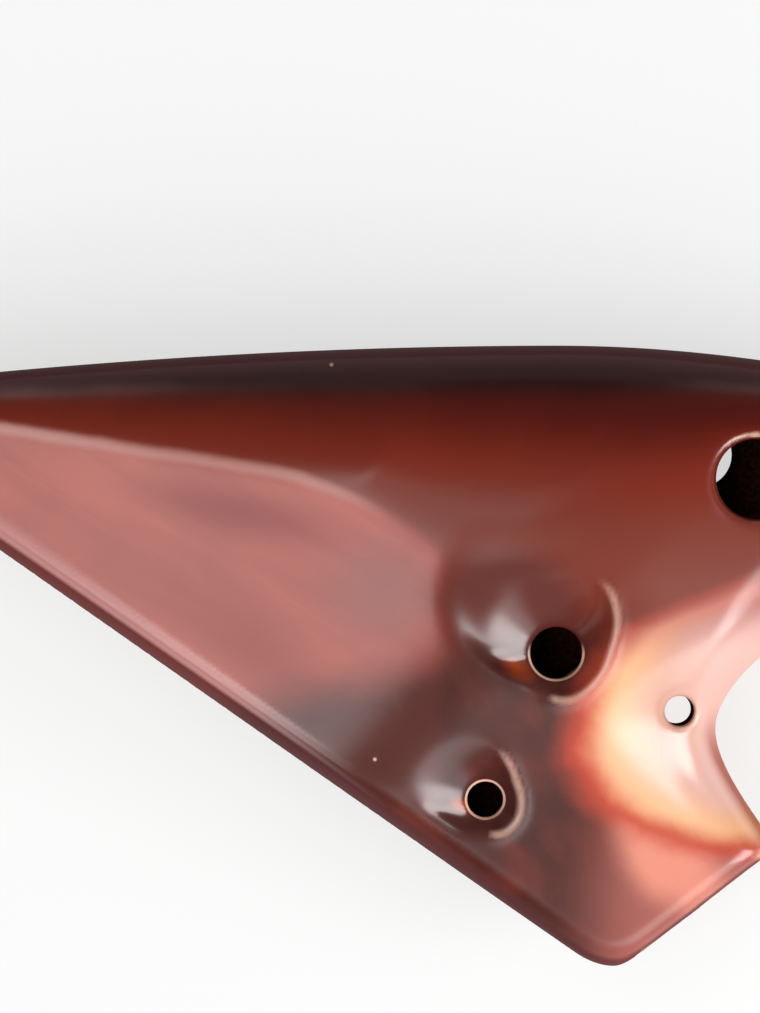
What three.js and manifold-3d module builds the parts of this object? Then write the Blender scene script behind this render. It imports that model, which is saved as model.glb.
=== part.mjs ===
// Double ocarina: a fired clay wind instrument with two chambers blown from one beak.
// It lies on its finger side, with the window side up: +X runs to the bulb, -X to the tail,
// -Y to the beak, and z = 0 is the table. All lengths are in millimetres.

import * as THREE from "three";
import { ConvexGeometry } from "three/addons/geometries/ConvexGeometry.js";
import { mergeVertices } from "three/addons/utils/BufferGeometryUtils.js";
import Module from "manifold-3d";

const wasm = await Module();
wasm.setup();

// Driving sizes of the whole body
const bodyLength = 177;
const bodyDepth = 86.4;
const backHeight = 21; // window side, over the joint of the two shells
const frontHeight = 19.5; // finger side, under the joint, before its foot is flattened
const footDepth = 1.5; // what the flat foot takes off the finger side
const wall = 5;

// Places in plan, as shares of bodyLength and bodyDepth measured from the middle
const tailCentreShares = [-0.4684, 0.385];
const topTailShares = [-0.4716, 0.4372];
const topBendShares = [-0.199, 0.5];
const crestShares = [0.065, 0.5];
const crestReachShares = [0.254, 0.5];
const bulbReachShares = [0.5, 0.382];
const bulbEndShares = [0.5, 0.2257];
const bulbUnderShares = [0.5, 0.1042];
const bulbFloorReachShares = [0.411, 0.0926];
const bulbFloorShares = [0.3277, 0.088];
const shoulderReachShares = [0.2486, 0.0787];
const neckReachShares = [0.1864, -0.0486];
const neckShares = [0.1867, -0.1157];
const neckUnderShares = [0.1869, -0.1644];
const flankReachShares = [0.2073, -0.226];
const topSplitShare = 0.27; // where the top edge's roll stops narrowing fast

// Beak: its blow end, its spread and the direction that it is blown in
const beakEndShares = [0.17, -0.409];
const beakAngle = THREE.MathUtils.degToRad(37.8);
const beakWidth = 29;
const beakHeight = 6.6; // half thickness at the blow end
const beakLength = 17; // from the blow end to its joint with the shells
const beakTrim = 1.2; // what is cut off the rounded blow end to leave a flat face
const rootHeight = 14.2; // half thickness where the high window lies
const rootReach = 30.5; // from the blow end to there
const risePower = 1.25; // how the beak's thickness gathers pace towards the body
const tipRounding = 7;
const flankRounding = 3.4;
const tailRadius = 5.6;
const tailReachShare = 0.92; // how full the round tip of the tail is

// Roll of the edges: how far in from the outline the surface goes on turning
const edgeRoll = 5.5;
const beakRoll = 4.4;
const tailRoll = 5.4;
const shoulderRoll = 20;
const crestRoll = 34;
const bulbRoll = 15;
const neckRoll = 4.6;
const frontRoll = 19; // the widest roll on the finger side
const leastRoll = 1.5;
const roundPower = 2; // the roll of an ellipse
const shoulderPower = 1.45; // a roll that ends in a soft ridge

// How the thickness runs along the body
const riseCentreShare = 0.124;
const riseSpanShare = 0.735;
const bodyBlend = 3;

// Web between beak and bulb: it thickens away from the neck, and more so towards the bulb
const webCentreShares = [0.2802, -0.1331];
const webRadius = 15.6;
const webHeight = 4.4;
const webSlope = 0.516;
const bulbSlope = 0.53;
const bulbSlopeBlend = 5;
const ridgeBlend = 1.6;

// Hollow round the main window
const hollowShares = [0.073, 0.023];
const hollowRadius = 16;
const hollowDepth = 2;

// Windows: a round hole at the foot of an oval scoop, one for each chamber
const mainWindow = {
  placeShares: [0.0605, 0.0081],
  radius: 3.6,
  scoopLong: 10.4,
  scoopWide: 8.9,
  scoopDepth: 3.5,
  slotOffset: 5.8,
  slotWidth: 8,
};
const highWindow = {
  placeShares: [0.0056, -0.2269],
  radius: 2.55,
  scoopLong: 8.2,
  scoopWide: 6.5,
  scoopDepth: 2.9,
  slotOffset: -5.8,
  slotWidth: 7,
};
const scoopRound = 6; // half height of the form that cuts a scoop
const scoopShift = 0.28; // share of the scoop's length by which the hole lies nearer the beak
const scoopTilt = THREE.MathUtils.degToRad(9);
const lipThickness = 1.8; // clay between a scoop and its chamber

// Windways: each is the room left over a clay block in a pocket
const slotFloor = 0.6; // over the joint plane, at the blow end
const slotHeight = 2.2;
const exitHeight = 1.3;
const exitDrop = 0.9; // the windway's floor under the chamber's ceiling, at the window
const pieceGap = 0.3; // between clay pieces that are luted together

// Holes
const thumbHole = { placeShares: [0.2153, 0.2847], radius: 5.5 };
const lanyardHole = { placeShares: [0.1571, -0.0856], radius: 2.1 };
const webWall = 6; // clay between the lanyard hole and the main chamber
const fingerHoles = [
  { placeShares: [-0.35, 0.333], radius: 2.4 }, // right little finger
  { placeShares: [-0.262, 0.31], radius: 3.3 }, // right ring finger
  { placeShares: [-0.167, 0.315], radius: 3.9 }, // right middle finger
  { placeShares: [-0.1384, 0.2338], radius: 1.8 }, // right sub-hole
  { placeShares: [-0.072, 0.307], radius: 4.1 }, // right index finger
  { placeShares: [0.076, 0.3], radius: 4.3 }, // left index finger
  { placeShares: [0.178, 0.325], radius: 4.5 }, // left middle finger
  { placeShares: [0.277, 0.307], radius: 4.5 }, // left ring finger
  { placeShares: [0.262, 0.19], radius: 2.1 }, // left sub-hole
  { placeShares: [0.375, 0.24], radius: 3.8 }, // left little finger
  { placeShares: [-0.017, -0.156], radius: 3.1 }, // high chamber
  { placeShares: [-0.092, -0.052], radius: 2.9 }, // high chamber
  { placeShares: [-0.172, 0.046], radius: 2.5 }, // high chamber
];

// Wall between the two chambers, from the clay between the windways to the tail's wall
const dividerShares = [
  [-0.061, 0.0255],
  [-0.1785, 0.154],
  [-0.35, 0.162],
];
const dividerThickness = 3.6;
const tailStopShare = -0.405; // where the main chamber ends inside the tail

// Fineness of the curved surfaces, and the overrun of every cut
const outerCell = 3.4;
const innerCell = 4;
const probe = 0.05; // step for measuring which way a surface faces
const weld = 0.0001; // points nearer than this are one
const overrun = 2;
const outlineSteps = 12;
const holeSides = 20;
const thumbSides = 28;
const scoopSides = 28;
const refinements = 6;
const evening = 0.5; // share of the way to the middle of its neighbours that a point moves

const jointHeight = frontHeight - footDepth;
const wide = bodyLength + bodyDepth;
const tallest = jointHeight + backHeight + overrun;
const across = new THREE.Vector2(Math.cos(beakAngle), Math.sin(beakAngle));
const inward = new THREE.Vector2(-Math.sin(beakAngle), Math.cos(beakAngle));

function plan([lengthShare, depthShare]) {
  return new THREE.Vector2(lengthShare * bodyLength, depthShare * bodyDepth);
}

function beyond(point, direction, distance) {
  return point.clone().addScaledVector(direction, distance);
}

function towards(from, to, distance) {
  return beyond(from, to.clone().sub(from).normalize(), distance);
}

// A plan point given from the middle of the blow end: across it, and inward along the beak.
function beakPoint(sideways, along) {
  return beyond(beyond(plan(beakEndShares), across, sideways), inward, along);
}

// Outline: each stretch is a curve with the edge's roll at its two ends, and the power of
// that roll where it isn't round

// The piece of a quadratic curve between two of its parameters.
function pieceOf(curve, from, to) {
  const start = curve.getPoint(from);
  const end = curve.getPoint(to);
  const heading = curve.getTangent(from);
  const leaving = curve.getTangent(to);
  const reach = end.clone().sub(start).cross(leaving) / heading.cross(leaving);
  return new THREE.QuadraticBezierCurve(start, beyond(start, heading, reach), end);
}

function beakStretches(tailFoot) {
  const tip = beakPoint(-beakWidth / 2, -beakTrim);
  const flank = beakPoint(beakWidth / 2, -beakTrim);
  const reach = plan(flankReachShares);
  const tipStart = towards(tip, tailFoot, tipRounding);
  const tipEnd = towards(tip, flank, tipRounding);
  const flankStart = towards(flank, tip, flankRounding);
  const flankEnd = towards(flank, reach, flankRounding);
  const neck = plan(neckShares);
  return [
    [new THREE.LineCurve(tailFoot, tipStart), edgeRoll, edgeRoll],
    [new THREE.QuadraticBezierCurve(tipStart, tip, tipEnd), edgeRoll, beakRoll],
    [new THREE.LineCurve(tipEnd, flankStart), beakRoll, beakRoll],
    [new THREE.QuadraticBezierCurve(flankStart, flank, flankEnd), beakRoll, beakRoll],
    [new THREE.CubicBezierCurve(flankEnd, reach, plan(neckUnderShares), neck), beakRoll, neckRoll],
  ];
}

function bulbStretches() {
  const neck = plan(neckShares);
  const floor = plan(bulbFloorShares);
  const bulb = plan(bulbEndShares);
  const crest = plan(crestShares);
  const shoulder = plan(shoulderReachShares);
  const under = new THREE.CubicBezierCurve(neck, plan(neckReachShares), shoulder, floor);
  const low = new THREE.CubicBezierCurve(floor, plan(bulbFloorReachShares), plan(bulbUnderShares), bulb);
  const high = new THREE.CubicBezierCurve(bulb, plan(bulbReachShares), plan(crestReachShares), crest);
  return [
    [under, neckRoll, bulbRoll],
    [low, bulbRoll, bulbRoll],
    [high, bulbRoll, crestRoll],
  ];
}

function topStretches() {
  const curve = new THREE.QuadraticBezierCurve(plan(crestShares), plan(topBendShares), plan(topTailShares));
  return [
    [pieceOf(curve, 0, topSplitShare), crestRoll, shoulderRoll, roundPower, shoulderPower],
    [pieceOf(curve, topSplitShare, 1), shoulderRoll, tailRoll, shoulderPower, shoulderPower],
  ];
}

function outlinePoints() {
  const tail = plan(tailCentreShares);
  const diagonal = beakPoint(-beakWidth / 2, -beakTrim).sub(tail).normalize();
  const tailFoot = beyond(tail, new THREE.Vector2(diagonal.y, -diagonal.x), tailRadius);
  const topTail = plan(topTailShares);
  const topReach = towards(topTail, plan(topBendShares), -tailReachShare * tailRadius);
  const footReach = beyond(tailFoot, diagonal, -tailReachShare * tailRadius);
  const tailEnd = new THREE.CubicBezierCurve(topTail, topReach, footReach, tailFoot);
  const stretches = [...beakStretches(tailFoot), ...bulbStretches(), ...topStretches()];
  stretches.push([tailEnd, tailRoll, edgeRoll, shoulderPower, roundPower]);
  return stretches.flatMap(([curve, rollStart, rollEnd, powerStart = roundPower, powerEnd = roundPower]) =>
    Array.from({ length: outlineSteps }, (_, step) => {
      const point = curve.getPointAt(step / outlineSteps);
      const share = THREE.MathUtils.smoothstep(step / outlineSteps, 0, 1);
      const roll = THREE.MathUtils.lerp(rollStart, rollEnd, share);
      const power = THREE.MathUtils.lerp(powerStart, powerEnd, share);
      return { x: point.x, y: point.y, roll, power };
    }),
  );
}

const outline = outlinePoints();

// How much of the thickness the nearest roll has taken at a place in plan, once the rim is
// drawn in by inset: 0 where the roll has ended, 1 on the rim and more outside.
function rollAt(x, y, inset, widestRoll) {
  let within = 0;
  let outside = Infinity;
  let isInside = false;
  outline.forEach((a, i) => {
    const b = outline[(i + 1) % outline.length];
    const dx = b.x - a.x;
    const dy = b.y - a.y;
    const t = THREE.MathUtils.clamp(((x - a.x) * dx + (y - a.y) * dy) / (dx * dx + dy * dy), 0, 1);
    const distance = Math.hypot(x - a.x - t * dx, y - a.y - t * dy);
    const roll = Math.max(Math.min(a.roll + t * (b.roll - a.roll), widestRoll) - inset, leastRoll);
    const power = widestRoll < crestRoll ? roundPower : a.power + t * (b.power - a.power);
    within = Math.max(within, Math.max(1 - (distance - inset) / roll, 0) ** power);
    outside = Math.min(outside, (1 + (distance + inset) / roll) ** power);
    if (a.y > y !== b.y > y && x < a.x + (dx * (y - a.y)) / dy) isInside = !isInside;
  });
  return isInside ? within : outside;
}

// Thickness of the clay form

function smoothLeast(a, b, blend) {
  const share = Math.max(blend - Math.abs(a - b), 0) / blend;
  return Math.min(a, b) - (share * share * blend) / 4;
}

function webThickness(x, y) {
  const centre = plan(webCentreShares);
  const outward = Math.max(Math.hypot(x - centre.x, y - centre.y) - webRadius, 0);
  const upward = y - plan(neckShares).y;
  const towardsBulb = (upward + Math.hypot(upward, bulbSlopeBlend)) / 2;
  return webHeight + webSlope * outward + bulbSlope * towardsBulb;
}

function thicknessAt(x, y, most) {
  const along = (x / bodyLength - riseCentreShare) / riseSpanShare;
  const body = most * (1 - along * along);
  const fromEnd = new THREE.Vector2(x, y).sub(plan(beakEndShares)).dot(inward);
  const beakShare = Math.max(fromEnd, 0) / rootReach;
  const beak = beakHeight + (rootHeight - beakHeight) * beakShare ** risePower;
  return smoothLeast(smoothLeast(body, beak, bodyBlend), webThickness(x, y), ridgeBlend);
}

function hollowAt(x, y) {
  const centre = plan(hollowShares);
  const reach = Math.hypot(x - centre.x, y - centre.y) / hollowRadius;
  return hollowDepth * Math.exp(-(reach ** 4));
}

function backThickness(x, y) {
  return thicknessAt(x, y, backHeight) - hollowAt(x, y);
}

// Negative inside the clay form once it is drawn in by inset on every side.
function formField(x, y, z, inset) {
  const isBack = z > jointHeight;
  const roll = rollAt(x, y, inset, isBack ? crestRoll : frontRoll);
  const full = isBack ? backThickness(x, y) : thicknessAt(x, y, frontHeight);
  const thickness = Math.max(full - inset, leastRoll);
  return roll + ((z - jointHeight) / thickness) ** 2 - 1;
}

// Closed mesh of the surface where a field is zero: one point in each crossed cell of a
// grid, joined across each crossed edge. Each point is then moved to the middle of its
// neighbours and drawn back onto the surface, a few times over.

const cornerCount = 8;
const cubeCorners = Array.from({ length: cornerCount }, (_, corner) => [
  corner & 1,
  (corner >> 1) & 1,
  corner >> 2,
]);
const cubeEdges = cubeCorners.flatMap((_, corner) =>
  [1, 2, 4].filter((step) => !(corner & step)).map((step) => [corner, corner + step]),
);
const axes = [cubeCorners[1], cubeCorners[2], cubeCorners[4]];

function plus(a, b, times = 1) {
  return a.map((value, axis) => value + times * b[axis]);
}

function gridOf(field, cell) {
  const margin = 2 * cell;
  const low = [-bodyLength / 2 - margin, -bodyDepth / 2 - margin, -footDepth - margin];
  const high = [bodyLength / 2 + margin, bodyDepth / 2 + margin, jointHeight + backHeight + margin];
  const count = low.map((start, axis) => Math.ceil((high[axis] - start) / cell) + 2);
  const place = (at) => at.map((n, axis) => low[axis] + n * cell);
  const index = ([i, j, k]) => (k * count[1] + j) * count[0] + i;
  const each = (first, last, visit) => {
    for (let k = first; k < count[2] - last; k++)
      for (let j = first; j < count[1] - last; j++)
        for (let i = first; i < count[0] - last; i++) visit([i, j, k]);
  };
  const values = new Float64Array(count[0] * count[1] * count[2]);
  each(0, 0, (at) => {
    values[index(at)] = field(...place(at));
  });
  return { place, index, values, each };
}

function pointIn(grid, at, cell) {
  const values = cubeCorners.map((corner) => grid.values[grid.index(plus(at, corner))]);
  const crossed = cubeEdges.filter(([p, q]) => values[p] < 0 !== values[q] < 0);
  if (!crossed.length) return undefined;
  const sum = new THREE.Vector3();
  for (const [p, q] of crossed) {
    const share = values[p] / (values[p] - values[q]);
    sum.add(new THREE.Vector3(...cubeCorners[p]).lerp(new THREE.Vector3(...cubeCorners[q]), share));
  }
  return sum.multiplyScalar(cell / crossed.length).add(new THREE.Vector3(...grid.place(at)));
}

function drawOnto(field, point, cell) {
  const value = field(point.x, point.y, point.z);
  const rise = new THREE.Vector3(
    field(point.x + probe, point.y, point.z) - value,
    field(point.x, point.y + probe, point.z) - value,
    field(point.x, point.y, point.z + probe) - value,
  ).divideScalar(probe);
  const move = rise.multiplyScalar(-value / Math.max(rise.lengthSq(), Number.EPSILON));
  point.add(move.clampLength(0, cell / 4));
}

function surfaceOf(field, cell) {
  const grid = gridOf(field, cell);
  const points = [];
  const pointOfCell = new Map();
  grid.each(0, 1, (at) => {
    const point = pointIn(grid, at, cell);
    if (!point) return;
    pointOfCell.set(grid.index(at), points.length);
    points.push(point);
  });
  const triangles = [];
  const neighbours = points.map(() => []);
  grid.each(1, 1, (at) =>
    axes.forEach((step, axis) => {
      const isInside = grid.values[grid.index(at)] < 0;
      if (isInside === grid.values[grid.index(plus(at, step))] < 0) return;
      const u = axes[(axis + 1) % 3];
      const v = axes[(axis + 2) % 3];
      const cells = [at, plus(at, u, -1), plus(plus(at, u, -1), v, -1), plus(at, v, -1)];
      const ring = cells.map((around) => pointOfCell.get(grid.index(around)));
      if (!isInside) ring.reverse();
      triangles.push(ring[0], ring[1], ring[2], ring[0], ring[2], ring[3]);
      ring.forEach((point, i) => neighbours[point].push(points[ring[(i + 1) % ring.length]]));
    }),
  );
  for (let n = 0; n < refinements; n++) {
    const middles = neighbours.map((around) => {
      const sum = around.reduce((total, point) => total.add(point), new THREE.Vector3());
      return sum.divideScalar(around.length);
    });
    points.forEach((point, i) => drawOnto(field, point.lerp(middles[i], evening), cell));
  }
  const geometry = new THREE.BufferGeometry().setFromPoints(points);
  geometry.setIndex(triangles);
  return geometry;
}

// Joining and cutting

function solidOf(geometry) {
  const bare = geometry.clone();
  bare.deleteAttribute("normal");
  bare.deleteAttribute("uv");
  const merged = mergeVertices(bare, weld);
  const vertProperties = merged.attributes.position.array;
  const triVerts = new Uint32Array(merged.index.array);
  return new wasm.Manifold(new wasm.Mesh({ numProp: 3, vertProperties, triVerts }));
}

function clayMesh(name, solid, color, roughness) {
  const { vertProperties, triVerts } = solid.getMesh();
  const geometry = new THREE.BufferGeometry();
  geometry.setAttribute("position", new THREE.BufferAttribute(vertProperties, 3));
  geometry.setIndex(new THREE.BufferAttribute(triVerts, 1));
  geometry.computeVertexNormals();
  const mesh = new THREE.Mesh(geometry, new THREE.MeshStandardMaterial({ color, roughness, metalness: 0 }));
  mesh.name = name;
  return mesh;
}

// An upright prism over a plan polygon, between two heights.
function prism(points, bottom, top) {
  const shape = new THREE.Shape(points);
  const geometry = new THREE.ExtrudeGeometry(shape, { depth: top - bottom, bevelEnabled: false });
  return solidOf(geometry.translate(0, 0, bottom));
}

// An upright round bore at a place in plan, between two heights.
function bore(hole, sides, bottom, top) {
  const place = plan(hole.placeShares);
  const geometry = new THREE.CylinderGeometry(hole.radius, hole.radius, top - bottom, sides);
  geometry.rotateX(Math.PI / 2).translate(place.x, place.y, (bottom + top) / 2);
  return solidOf(geometry);
}

// All of the plan from one place along the body to another, between two heights.
function slab(fromX, toX, bottom, top) {
  const ring = [
    new THREE.Vector2(fromX, -wide),
    new THREE.Vector2(toX, -wide),
    new THREE.Vector2(toX, wide),
    new THREE.Vector2(fromX, wide),
  ];
  return prism(ring, bottom, top);
}

// Everything on the blow end's side of a line across the beak.
function beakSpace(along) {
  const ring = [
    beakPoint(-beakWidth, along),
    beakPoint(-beakWidth, -beakWidth),
    beakPoint(beakWidth, -beakWidth),
    beakPoint(beakWidth, along),
  ];
  return prism(ring, -overrun, tallest);
}

// Windways and windows

function windwayOf(window) {
  const place = plan(window.placeShares);
  const start = beakPoint(window.slotOffset, 0);
  const way = place.clone().sub(start).normalize();
  const side = new THREE.Vector2(way.y, -way.x);
  const surface = backThickness(place.x, place.y);
  const end = beyond(place, way, -window.radius);
  const startFloor = jointHeight + slotFloor;
  const endFloor = jointHeight + surface - wall - exitDrop;
  return { ...window, place, start, end, way, side, surface, startFloor, endFloor };
}

// A wedge along a windway, from one distance past its start to another, under a top that
// passes one height at the windway's start and another at its end.
function wedge(windway, width, distances, low, startTop, endTop) {
  const length = windway.start.distanceTo(windway.end);
  const points = distances.flatMap((distance) => {
    const top = Math.max(startTop + ((endTop - startTop) * distance) / length, low + pieceGap);
    const middle = beyond(windway.start, windway.way, distance);
    return [-width / 2, width / 2].flatMap((sideways) => {
      const corner = beyond(middle, windway.side, sideways);
      return [new THREE.Vector3(corner.x, corner.y, low), new THREE.Vector3(corner.x, corner.y, top)];
    });
  });
  return solidOf(new ConvexGeometry(points));
}

// The room for a windway and the block under it, open at the blow end and into the window.
function pocket(windway) {
  const distances = [-windway.slotWidth, windway.start.distanceTo(windway.place)];
  const startTop = windway.startFloor + slotHeight;
  const endTop = windway.endFloor + exitHeight;
  return wedge(windway, windway.slotWidth, distances, jointHeight - overrun, startTop, endTop);
}

// The clay block under a windway: its top is the windway's floor.
function block(windway) {
  const distances = [-windway.slotWidth, windway.start.distanceTo(windway.end)];
  const width = windway.slotWidth - 2 * pieceGap;
  const whole = wedge(windway, width, distances, jointHeight, windway.startFloor, windway.endFloor);
  return whole.subtract(beakSpace(0));
}

// The oval scoop round a window, tilted so that it runs out as a ramp away from the beak.
function scoop(windway, growth) {
  const geometry = new THREE.SphereGeometry(1, scoopSides, scoopSides / 2);
  geometry.scale(windway.scoopWide + growth, windway.scoopLong + growth, scoopRound + growth);
  geometry.rotateX(scoopTilt).rotateZ(windway.way.angle() - Math.PI / 2);
  const centre = beyond(windway.place, windway.way, windway.scoopLong * scoopShift);
  const height = jointHeight + windway.surface + scoopRound - windway.scoopDepth;
  return solidOf(geometry.translate(centre.x, centre.y, height));
}

const mainWindway = windwayOf(mainWindow);
const highWindway = windwayOf(highWindow);

// The wall between the chambers starts between these two corners of the solid clay.
const highCorner = beyond(highWindway.end, highWindway.side, highWindow.slotWidth);
const mainCorner = beyond(mainWindway.end, mainWindway.side, -mainWindow.slotWidth);
const dividerStart = highCorner.clone().lerp(mainCorner, 0.5);
const dividerHeading = plan(dividerShares[0]).sub(dividerStart).normalize();

// Clay left solid round the windways and the lanyard hole, grown towards the divider.
function rootSpace(growth) {
  const hole = plan(lanyardHole.placeShares);
  const web = new THREE.Vector2(hole.x, hole.y + lanyardHole.radius + webWall);
  const ring = [
    beyond(highWindway.end, highWindway.side, -wide),
    highCorner,
    mainCorner,
    beyond(mainWindway.end, mainWindway.side, mainWindow.slotWidth),
    web,
    new THREE.Vector2(wide, web.y),
    new THREE.Vector2(wide, -wide),
  ];
  return prism(ring.map((point) => beyond(point, dividerHeading, growth)), -overrun, tallest);
}

// A strip of plan along the line between the chambers.
function dividerSpace() {
  const line = [dividerStart, ...dividerShares.map(plan)];
  const edge = (sideways) =>
    line.map((point, i) => {
      const before = line[Math.max(i - 1, 0)];
      const after = line[Math.min(i + 1, line.length - 1)];
      const heading = after.clone().sub(before).normalize();
      return beyond(point, new THREE.Vector2(-heading.y, heading.x), sideways);
    });
  const half = dividerThickness / 2;
  return prism([...edge(-half), ...edge(half).reverse()], -overrun, tallest);
}

// Pieces

function buildOcarina() {
  const backSpace = slab(-wide, wide, jointHeight, tallest);
  const frontSpace = slab(-wide, wide, 0, jointHeight);
  const solid = solidOf(surfaceOf((x, y, z) => formField(x, y, z, 0), outerCell)).subtract(beakSpace(0));
  const inside = solidOf(surfaceOf((x, y, z) => formField(x, y, z, wall), innerCell));
  const insideGap = solidOf(surfaceOf((x, y, z) => formField(x, y, z, wall + pieceGap), innerCell));
  const tail = slab(-wide, tailStopShare * bodyLength, -overrun, tallest);
  let chambers = inside.subtract(rootSpace(0)).subtract(tail);
  for (const windway of [mainWindway, highWindway]) {
    chambers = chambers.subtract(scoop(windway, lipThickness));
  }

  const lanyard = bore(lanyardHole, holeSides, -overrun, tallest);
  const beak = beakSpace(beakLength - pieceGap);
  let back = solid.intersect(backSpace).subtract(lanyard);
  back = back.subtract(bore(thumbHole, thumbSides, jointHeight, tallest));
  for (const windway of [mainWindway, highWindway]) {
    back = back.subtract(pocket(windway)).subtract(scoop(windway, 0));
    back = back.subtract(bore(windway, holeSides, windway.endFloor - overrun, tallest));
  }
  let front = solid.intersect(frontSpace).subtract(lanyard);
  const backShell = back.subtract(chambers).subtract(beakSpace(beakLength));
  let frontShell = front.subtract(chambers).subtract(beakSpace(beakLength));
  for (const hole of fingerHoles) {
    frontShell = frontShell.subtract(bore(hole, holeSides, -overrun, jointHeight));
  }
  const divider = insideGap.intersect(inside).intersect(dividerSpace()).subtract(rootSpace(2 * pieceGap));

  const ocarina = new THREE.Group();
  ocarina.add(clayMesh("back_shell", backShell, 0x7a2a1a, 0.16));
  ocarina.add(clayMesh("front_shell", frontShell, 0x6e2417, 0.18));
  ocarina.add(clayMesh("beak_back", back.intersect(beak), 0xa8533a, 0.16));
  ocarina.add(clayMesh("beak_front", front.intersect(beak), 0x97462f, 0.18));
  ocarina.add(clayMesh("main_windway_block", block(mainWindway), 0xa9694a, 0.85));
  ocarina.add(clayMesh("high_windway_block", block(highWindway), 0xa9694a, 0.85));
  ocarina.add(clayMesh("chamber_divider", divider, 0xa9694a, 0.85));
  return ocarina;
}

export default buildOcarina();
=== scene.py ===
# %% [markdown]
# Double ocarina: loading the frame
# An ocarina is a hollow clay flute. This one has two chambers and one beak, and it lies on its
# finger side with the window side up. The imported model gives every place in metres, so all
# pieces below are made in that frame and need no fitting.

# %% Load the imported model
import math

import bmesh
import bpy
import numpy as np
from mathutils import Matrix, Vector


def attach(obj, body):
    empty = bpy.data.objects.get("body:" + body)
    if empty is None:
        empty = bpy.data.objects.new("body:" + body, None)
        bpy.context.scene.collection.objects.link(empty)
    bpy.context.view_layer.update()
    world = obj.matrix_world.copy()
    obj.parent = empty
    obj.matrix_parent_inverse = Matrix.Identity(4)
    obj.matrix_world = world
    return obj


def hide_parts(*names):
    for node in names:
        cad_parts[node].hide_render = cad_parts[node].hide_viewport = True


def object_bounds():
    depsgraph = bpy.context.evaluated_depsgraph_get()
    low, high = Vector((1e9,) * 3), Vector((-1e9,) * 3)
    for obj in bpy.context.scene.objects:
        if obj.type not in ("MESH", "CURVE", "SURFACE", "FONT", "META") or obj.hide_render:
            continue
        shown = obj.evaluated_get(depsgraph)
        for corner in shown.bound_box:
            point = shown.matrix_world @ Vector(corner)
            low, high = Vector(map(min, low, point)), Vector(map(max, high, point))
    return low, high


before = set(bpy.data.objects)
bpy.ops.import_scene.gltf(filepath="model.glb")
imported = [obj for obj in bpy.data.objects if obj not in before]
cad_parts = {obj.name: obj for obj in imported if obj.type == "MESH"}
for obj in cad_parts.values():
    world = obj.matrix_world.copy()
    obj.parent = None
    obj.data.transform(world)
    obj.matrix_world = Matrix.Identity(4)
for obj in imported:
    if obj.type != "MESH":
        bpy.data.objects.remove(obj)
CAD_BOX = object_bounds()
print("nodes:", sorted(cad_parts))
print("box:", CAD_BOX)

# %% [markdown]
# The outline
# Seen from above, the body is a wing: one long straight edge from the tail to the beak, a
# round bulb, and a narrow neck between bulb and beak. A potter would cut it from a slab. Here
# it is a ring of curves, and each also says how far in from the edge the clay goes on rolling
# over, because the crest is full and soft while the beak is tight.

# %% Sizes of the body, in millimetres
BODY = np.array([177.0, 86.4])  # length and depth in plan
JOINT = 18.0  # height of the joint between the two shells
BACK_HEIGHT = 21.0
FRONT_HEIGHT = 19.5
WALL = 5.0
BEAK_END = np.array([0.17, -0.409]) * BODY
BEAK_ANGLE = math.radians(37.8)
ACROSS = np.array([math.cos(BEAK_ANGLE), math.sin(BEAK_ANGLE)])
INWARD = np.array([-math.sin(BEAK_ANGLE), math.cos(BEAK_ANGLE)])
BEAK_WIDTH = 29.0
BEAK_LENGTH = 17.0
BLOW_END_CUT = 1.2  # the flat blow end lies this far inside the outline
TIP_CORNER = 7.0  # how far from its point the beak's outer corner begins to bend
FLANK_CORNER = 3.4
TAIL_WIDTH = 5.6
TAIL_BULGE = 5.2
OUTLINE_STEPS = 24  # points on each curve
CURVE_STEPS = 240  # points that each curve's length is measured on

# How far in from the outline the clay goes on rolling over
CREST_ROLL = 34.0
BEND_ROLL = 20.0
TAIL_ROLL = 5.4
EDGE_ROLL = 4.4
BEAK_ROLL = 4.4
NECK_ROLL = 4.6
BULB_ROLL = 15.0
FRONT_ROLL = 19.0
LEAST_ROLL = 1.5

# How late the roll turns down: 2 is a round edge, and a higher power keeps the top flat longer
ROUND = 2.0
TIGHT = 3.0
SLACK = 1.45


def plan(x_share, y_share):
    """A place in plan, given as shares of the body's length and depth."""
    return np.array([x_share, y_share]) * BODY


def beak_point(sideways, along):
    """A place measured from the middle of the blow end."""
    return BEAK_END + ACROSS * sideways + INWARD * along


def unit_of(line):
    return line / np.linalg.norm(line)


def towards(start, end, distance):
    """The place that lies a distance from the start, on the way to the end."""
    return start + unit_of(np.asarray(end) - start) * distance


NECK = plan(0.1867, -0.1157)  # where the web meets the neck between beak and bulb
BEND_SHARE = 0.27  # share of the top curve at which the crest gives way to the tail


# %% Curves of the outline
def stretch(controls, rolls, powers=(ROUND, ROUND), part=(0.0, 1.0)):
    """Evenly spaced points on a Bezier curve, each with the edge's roll and its power."""
    t = np.linspace(part[0], part[1], CURVE_STEPS)[:, None]
    rows = [np.asarray(point, float)[None, :] for point in controls]
    while len(rows) > 1:
        rows = [a + (b - a) * t for a, b in zip(rows, rows[1:])]
    run = np.r_[0, np.cumsum(np.linalg.norm(np.diff(rows[0], axis=0), axis=1))]
    share = np.arange(OUTLINE_STEPS) / OUTLINE_STEPS
    points = [np.interp(share * run[-1], run, rows[0][:, axis]) for axis in (0, 1)]
    ease = share * share * (3 - 2 * share)
    roll = rolls[0] + (rolls[1] - rolls[0]) * ease
    power = powers[0] + (powers[1] - powers[0]) * ease
    return np.stack([*points, roll, power], 1)


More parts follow.
